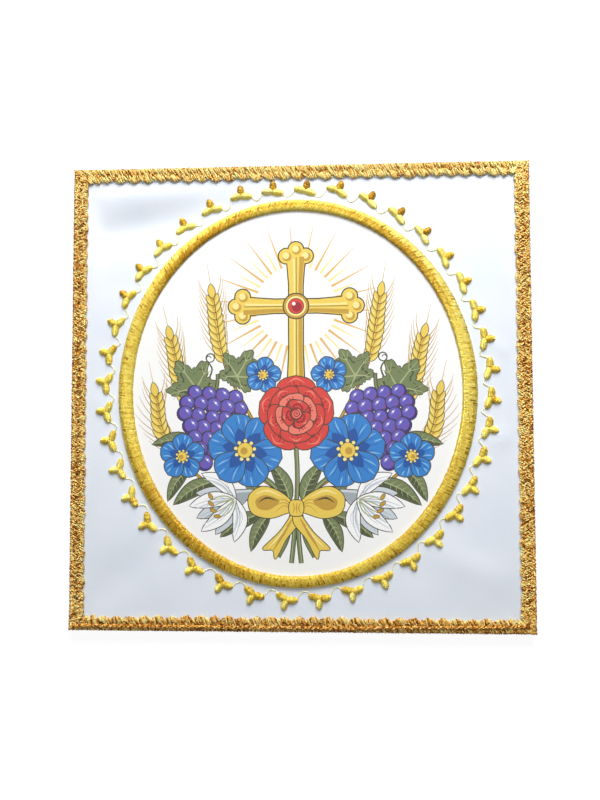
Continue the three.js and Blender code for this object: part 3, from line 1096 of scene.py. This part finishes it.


# The braid

# The sides, each with its corner, the ways along it and inwards, the depth of its scallops, whether
# its yarns pass under each other halfway, the share of dark yarn and how much paler it is; these two
# are painted light, the top side painted paler and the bottom one darker, as the light falls on them.
SIDES = [
    dict(name="top", length=PALL_WIDTH, start=(-1, 1), along=(1, 0), inwards=(0, -1),
         scallop=1.75, plaited=False, dark=0.1, paler=0.22),
    dict(name="right", length=PALL_LENGTH, start=(1, 1), along=(0, -1), inwards=(-1, 0),
         scallop=0.8, plaited=True, dark=0.25, paler=0.05),
    dict(name="bottom", length=PALL_WIDTH, start=(1, -1), along=(-1, 0), inwards=(0, 1),
         scallop=1.7, plaited=False, dark=0.3, paler=0.03),
    dict(name="left", length=PALL_LENGTH, start=(-1, -1), along=(0, 1), inwards=(1, 0),
         scallop=0.8, plaited=True, dark=0.25, paler=0.05),
]
YARN_TONES = [(0.05, 0.3), (0.4, 0.65), (0.75, 1.0)]  # dark, plain and bright yarn
YARN_SHARES = [0.45, 0.4]  # of plain and bright yarn
YARN_LEVEL = 0.38  # height over the satin of a yarn that passes under another
YARN_LIFT = 0.55  # how much higher it lies where it passes over
OUTER_TURNS = (0.28, 0.38)  # where the yarns of the outer row turn, from the outer edge
PAINTED_UNDER_SHADE = 0.2  # painted shade: how much darker a yarn is painted where it passes under
PAINTED_RIM_SHADE = 0.35  # and painted shade where it turns at the outer edge
PAINTED_GLINTS = [0, 0, 0.5]  # painted glints: how much paler it may be where it turns at a scallop
CORD_RUN = [0.0, 0.4, 1.0]  # places along the bottom braid
CORD_DEPTH = [2.9, 1.8, 1.9]  # of the straight cord on it there, from the outer edge
CORD_LEVEL = 1.15
CORD_TWIST = 1.6  # turns of its plies in the length of a scallop
CORD_STEPS = 30  # in the length of a scallop
PLY_TURN = 0.3  # from the middle of the cord to the middle of a ply
PLY_RADIUS = 0.36
PLY_TONES = (0.15, 0.45)
BACKING_DEPTH, BACKING_LEVEL = 2.15, 0.14  # of the flat strip under the yarns, whose darker tone is painted shade between them
BACKING_HALF = (1.75, 0.16)  # half its width and half its height
BACKING_PAINTED_SHADE_TONE = 0.3


def yarn_tone(side):
    # A random tone, with the side's painted light: its share of dark yarn and how much paler it is
    shares = [side["dark"], *YARN_SHARES]
    return side["paler"] + rng.uniform(*rng.choices(YARN_TONES, shares)[0])


def braid_points(side, run, depth, rise):
    """Points on a side of the braid. run goes from 0 to 1 between its mitred corners at any depth."""
    far = run * side["length"]
    fan = (1 - far / CORNER_FAN).clip(0) - (1 - (side["length"] - far) / CORNER_FAN).clip(0)
    corner = np.array(side["start"]) * (PALL_WIDTH / 2, PALL_LENGTH / 2)
    plan = corner + np.outer(depth, side["inwards"]) + np.outer(far + depth * fan, side["along"])
    return np.column_stack([plan, PANEL_THICKNESS + rise])


def scallop_edge(side, depths, place_along):
    """Depth of the scalloped edge at a place counted in scallops."""
    scallop = min(max(math.floor(place_along), 0), len(depths) - 2)
    swell = (1 - (2 * (place_along % 1) - 1) ** 2) ** 0.5
    return BRAID_WIDTH - STRAND_WIDTH / 2 - side["scallop"] + depths[scallop] * swell


def turning_depths(side, row, offset, swings, depths):
    """Where a yarn of a row turns in each swing, on its outer and on its inner side."""
    scallops = len(depths) - 2
    outer, inner = [], []
    for k in range(swings + 2):
        if row == "outer":
            outer.append(rng.uniform(*OUTER_TURNS))
            inner.append(VALLEY_DEPTH + rng.uniform(-VALLEY_UNEVEN, VALLEY_UNEVEN))
        else:
            outer.append(VALLEY_DEPTH + rng.uniform(-VALLEY_UNEVEN, VALLEY_UNEVEN))
            edge = scallop_edge(side, depths, (k + 0.5 - offset) * scallops / swings)
            inner.append(edge + rng.gauss(0, 0.07))
    return np.array(outer), np.array(inner)


def add_yarn(threads, side, row, offset, depths):
    """A yarn that swings to and fro across a row of the braid, from one corner to the next."""
    scallops = len(depths) - 2
    swings = round(side["length"] / SWING_PITCH)
    legs = 2 * swings + 3
    run = np.linspace(0, 1, swings * ROW_STEPS + 1)
    uneven = [rng.gauss(0, 0.05) for k in range(swings + 1)]
    uneven = np.interp(run * swings, np.arange(swings + 1), uneven)
    phase = (run * swings + offset + uneven).clip(0, swings + 1)
    outer, inner = turning_depths(side, row, offset, swings, depths)
    swing = 1 - np.abs(2 * (phase % 1) - 1)
    start = outer[np.floor(phase + 0.5).astype(int)]
    end = inner[np.floor(phase).astype(int)]
    depth = start + (end - start) * swing
    inwards = np.sin(2 * np.pi * phase) > 0
    leg = np.floor(phase * 2).astype(int)
    lifts = np.array([rng.gauss(YARN_LIFT, 0.07) for k in range(legs)])
    tones = np.array([yarn_tone(side) for k in range(legs)])
    if side["plaited"]:
        over = 0.5 + 0.5 * np.where(inwards, 1, -1) * np.sin(2 * np.pi * swing)
    else:
        over = np.where(inwards, np.sin(np.pi * swing).clip(0) ** 0.35, 0)
    # Painted shade where a yarn passes under another
    shade = tones[leg] - PAINTED_UNDER_SHADE * (over < 0.3)
    gather = 0
    if row == "outer":
        # Painted shade where a yarn turns at the outer edge
        shade = shade - PAINTED_RIM_SHADE * (swing < 0.13)
    else:
        reach = ((depth - VALLEY_DEPTH) / (BRAID_WIDTH - VALLEY_DEPTH)).clip(0)
        gather = SCALLOP_PINCH / scallops * np.sin(2 * np.pi * run * scallops) * reach
        # Painted glints where the yarns turn at the scallops
        glints = np.array([rng.choice(PAINTED_GLINTS) for k in range(swings + 2)])
        shade = shade + glints[np.floor(phase).astype(int)] * (swing > 0.72)
    path = braid_points(side, run + gather, depth, YARN_LEVEL + lifts[leg] * over)
    threads.add(path, STRAND_WIDTH / 2, STRAND_WIDTH * 0.4, shade)


def add_cord(threads, side, scallops):
    """The straight cord of two plies that lies on a side of the braid."""
    run = np.linspace(0, 1, scallops * CORD_STEPS + 1)
    for ply, tone in enumerate(PLY_TONES):
        angle = 2 * np.pi * run * scallops * CORD_TWIST + math.pi * ply
        depth = np.interp(run, CORD_RUN, CORD_DEPTH) + PLY_TURN * np.cos(angle)
        rise = CORD_LEVEL + PLY_TURN * np.sin(angle)
        threads.add(braid_points(side, run, depth, rise), PLY_RADIUS, PLY_RADIUS, tone)


def make_braid(side, material):
    scallops = round(side["length"] / SCALLOP_PITCH)
    depths = [side["scallop"] * rng.uniform(0.75, 1.1) for k in range(scallops + 2)]
    threads = Threads(6)
    for row in ("outer", "inner"):
        for strand in range(ROW_STRANDS):
            add_yarn(threads, side, row, strand / ROW_STRANDS, depths)
    if side["name"] == "bottom":
        add_cord(threads, side, scallops)
    # The backing strip closes the gaps under the yarns; its darker tone is painted shade
    ends = np.array([0, 1.0])
    backing = braid_points(side, ends, np.full(2, BACKING_DEPTH), np.full(2, BACKING_LEVEL))
    threads.add(backing, *BACKING_HALF, BACKING_PAINTED_SHADE_TONE)
    name = "braid_" + side["name"]
    return threads.piece("plaited_" + name, material, "gold_braid", [name])


# Stage

SKY_BRIGHTEST = (-0.35, 0.2, 0.9)  # the way from which the sky is brightest
SKY_OVERHEAD, SKY_HORIZON, SKY_FALLOFF = 0.3, 0.08, 3.0
FLOOR_LEVEL = -0.0001  # just under the pall, so that the two share no plane
LIGHTS = [
    dict(name="key", place=(0.06, 0.48, 0.32), size=0.35, power=5.1),
    dict(name="overhead", place=(-0.03, 0.03, 0.45), size=0.12, power=0.2),
]


def add_light(name, place, size, power):
    bpy.ops.object.light_add(type="AREA", location=place)
    light = bpy.context.object
    light.name = name
    light.data.size = size
    light.data.energy = power
    light.rotation_euler = (-Vector(place)).to_track_quat("-Z", "Y").to_euler()


def make_sky():
    """Soft light that falls off from overhead to the horizon."""
    world = bpy.data.worlds.new("studio")
    world.use_nodes = True
    sky = Nodes(world.node_tree)
    way = sky.node("TexCoord").outputs["Generated"]
    facing = sky.vector("DOT_PRODUCT", way, Vector(SKY_BRIGHTEST).normalized()).outputs["Value"]
    falloff = sky.math("POWER", sky.math("MAXIMUM", facing, 0.0), SKY_FALLOFF)
    light = sky.math("ADD", sky.math("MULTIPLY", falloff, SKY_OVERHEAD), SKY_HORIZON)
    background = world.node_tree.nodes["Background"]
    background.inputs["Color"].default_value = (1, 1, 1, 1)
    sky.put(background.inputs["Strength"], light)
    return world


def make_stage():
    bpy.ops.object.select_all(action="DESELECT")
    bpy.ops.mesh.primitive_plane_add(size=4, location=(0, 0, FLOOR_LEVEL))
    floor = bpy.context.object
    floor.name = "floor"
    paper = Surface("floor_paper")
    grain = paper.ramp(paper.noise(3.0), [(0.3, (0.16, 0.16, 0.16)), (0.7, (0.18, 0.18, 0.18))])
    glow = dict(Emission_Color=(1, 1, 1, 1), Emission_Strength=0.9)
    floor.data.materials.append(paper.finish(Base_Color=grain, Roughness=0.9, **glow))
    bpy.context.scene.world = make_sky()
    for light in LIGHTS:
        add_light(**light)
    bpy.context.scene.view_settings.view_transform = "Standard"


CAMERA_PLACE = (18.6, -19.2, 305.3)
CAMERA_AIM = (0.2, -1.4, 0.0)
CAMERA_LENS = 40.0
CAMERA_LEAN = 0.13  # degrees that the picture's upright leans to the right


def make_camera():
    data = bpy.data.cameras.new("camera")
    data.lens = CAMERA_LENS
    data.clip_start = 0.01
    camera = bpy.data.objects.new("camera", data)
    bpy.context.collection.objects.link(camera)
    ahead = (Vector(CAMERA_AIM) - Vector(CAMERA_PLACE)).normalized()
    lean = math.radians(CAMERA_LEAN)
    right = ahead.cross(Vector((math.sin(lean), math.cos(lean), 0))).normalized()
    up = right.cross(ahead)
    turn = Matrix((right, up, -ahead)).transposed()
    camera.matrix_world = Matrix.Translation(Vector(CAMERA_PLACE) * MM) @ turn.to_4x4()
    bpy.context.scene.camera = camera


satin = satin_material()
gold_thread = gold_thread_material()
gold_braid = gold_braid_material()

panel = make_panel(satin)
ring = make_ring(gold_thread)
trefoils = [make_trefoil(index, gold_thread) for index in range(TREFOIL_COUNT)]
links = make_links(gold_thread)
braids = [make_braid(side, gold_braid) for side in SIDES]

make_stage()
make_camera()
